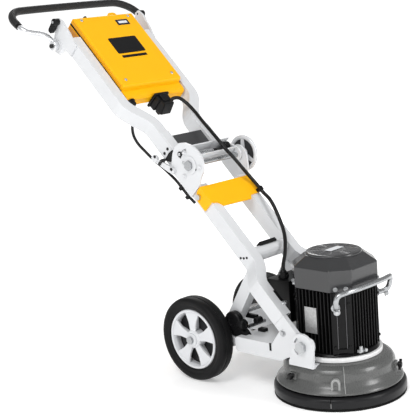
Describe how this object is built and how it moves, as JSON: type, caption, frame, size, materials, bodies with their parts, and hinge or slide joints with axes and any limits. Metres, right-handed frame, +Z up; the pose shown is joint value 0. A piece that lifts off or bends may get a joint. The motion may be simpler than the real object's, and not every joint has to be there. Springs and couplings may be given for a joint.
{
  "type": "concrete grinder",
  "caption": "Walk-behind floor grinder: vertical motor over a shrouded diamond disc, on a folding two-rail frame with rear wheels, control box and tilting U handle.",
  "frame": {"origin": "centre of the floor contact rectangle, at floor level", "axes": "+X forward towards the grinding head, +Y to the machine's left, +Z up"},
  "size_m": [1.1256, 0.4796, 1.0027],
  "materials": {
    "white_paint": "white-grey powder coat, semi-gloss",
    "yellow_paint": "orange-yellow powder coat",
    "zinc": "zinc plated",
    "steel": "turned and ground steel",
    "black_plastic": "black moulded plastic",
    "foam": "closed-cell foam grip",
    "tyre": "solid rubber tyre",
    "rim": "light grey moulded rim",
    "shroud_grey": "mid-grey semi-gloss paint",
    "band_white": "white enamel",
    "motor_black": "black painted finned aluminium",
    "cowl": "charcoal painted sheet",
    "skirt_rubber": "dark rubber with brush edge",
    "cable": "black rubber sheath",
    "copper": "varnished copper winding",
    "diamond": "sintered diamond segments",
    "axle_steel": "dark steel"
  },
  "bodies": {
    "frame": {"lower_rail_R": "white_paint", "lower_rail_L": "white_paint", "chassis_pan": "white_paint", "rear_leg_R": "white_paint", "rear_leg_L": "white_paint", "hinge_plate_R": "white_paint", "hinge_plate_L": "white_paint", "crossbar": "yellow_paint", "crossbar_bolt": "steel", "lower_cross_tube": "white_paint", "axle": "axle_steel", "axle_carrier": "white_paint", "hinge_shaft": "steel", "tilt_bolt_R": "steel", "tilt_bolt_L": "steel", "motor_lead_lower": "cable", "lead_clip": "black_plastic"},
    "fold_knob": {"handwheel": "white_paint"},
    "latch": {"fold_latch": "white_paint"},
    "upper": {"upper_rail_R": "white_paint", "upper_rail_L": "white_paint", "hinge_yoke": "white_paint", "upper_crossmember": "black_plastic", "handle_bracket_R": "white_paint", "handle_bracket_L": "white_paint", "control_box_base": "yellow_paint", "box_gasket": "black_plastic", "box_lid": "yellow_paint", "cable_gland": "black_plastic", "motor_plug": "black_plastic", "motor_lead_upper": "cable", "bond_lead": "cable"},
    "switch": {"power_switch": "black_plastic"},
    "handle": {"handle_tube": "zinc", "handle_grip": "foam"},
    "clamp_R": {"clamp_lever_R": "black_plastic"},
    "clamp_L": {"clamp_lever_L": "black_plastic"},
    "wheel_R": {"tyre_R": "tyre", "rim_R": "rim"},
    "wheel_L": {"tyre_L": "tyre", "rim_L": "rim"},
    "head": {"shroud": "shroud_grey", "dust_port": "black_plastic", "band_clamp": "band_white", "motor_flange": "motor_black", "motor_body": "motor_black", "fan_cowl": "cowl", "terminal_box": "black_plastic", "terminal_lid": "black_plastic", "lift_handle": "steel", "head_bracket_R": "white_paint", "head_bracket_L": "white_paint", "stator": "copper", "bearing_lower": "steel", "bearing_upper": "steel"},
    "rotor": {"rotor_shaft": "steel", "cooling_fan": "black_plastic", "disc_plate": "steel", "diamond_tools": "diamond"},
    "floating_skirt": {"skirt": "skirt_rubber"}
  },
  "joints": [
    {"name": "frame_fold", "type": "hinge", "parent": "frame", "child": "upper", "pos_m": [0.007, 0, 0.5692], "axis": [0, 1, 0], "range_deg": [0, 135], "deforming": ["motor_lead_upper", "bond_lead"]},
    {"name": "fold_knob_turn", "type": "hinge", "parent": "frame", "child": "fold_knob", "pos_m": [0.007, 0.115, 0.5692], "axis": [0, 1, 0], "continuous": true},
    {"name": "fold_latch_swing", "type": "hinge", "parent": "frame", "child": "latch", "pos_m": [-0.0531, 0, 0.5515], "axis": [0, 1, 0], "range_deg": [-35, 0]},
    {"name": "switch_press", "type": "slide", "parent": "upper", "child": "switch", "axis": [0.7071, 0, -0.7071], "range_m": [0, 0.004], "stiffness_N_per_m": 400},
    {"name": "handle_tilt", "type": "hinge", "parent": "upper", "child": "handle", "pos_m": [-0.42008, 0, 0.89166], "axis": [0, 1, 0], "range_deg": [-60, 10]},
    {"name": "clamp_lever_R_turn", "type": "hinge", "parent": "upper", "child": "clamp_R", "pos_m": [-0.4102, -0.15, 0.9567], "axis": [0, 1, 0], "range_deg": [0, 90]},
    {"name": "clamp_lever_L_turn", "type": "hinge", "parent": "upper", "child": "clamp_L", "pos_m": [-0.4102, 0.15, 0.9567], "axis": [0, 1, 0], "range_deg": [0, 90]},
    {"name": "wheel_R_spin", "type": "hinge", "parent": "frame", "child": "wheel_R", "pos_m": [0.0308, -0.185, 0.113], "axis": [0, 1, 0], "continuous": true},
    {"name": "wheel_L_spin", "type": "hinge", "parent": "frame", "child": "wheel_L", "pos_m": [0.0308, 0.185, 0.113], "axis": [0, 1, 0], "continuous": true},
    {"name": "head_tilt", "type": "hinge", "parent": "frame", "child": "head", "pos_m": [0.3888, 0, 0.147], "axis": [0, 1, 0], "range_deg": [-6, 2.5], "deforming": ["motor_lead_lower"]},
    {"name": "rotor_spin", "type": "hinge", "parent": "head", "child": "rotor", "pos_m": [0.3938, 0, 0.1], "axis": [0, 0, 1], "continuous": true},
    {"name": "skirt_float", "type": "slide", "parent": "head", "child": "floating_skirt", "axis": [0, 0, 1], "range_m": [0, 0.004]}
  ]
}
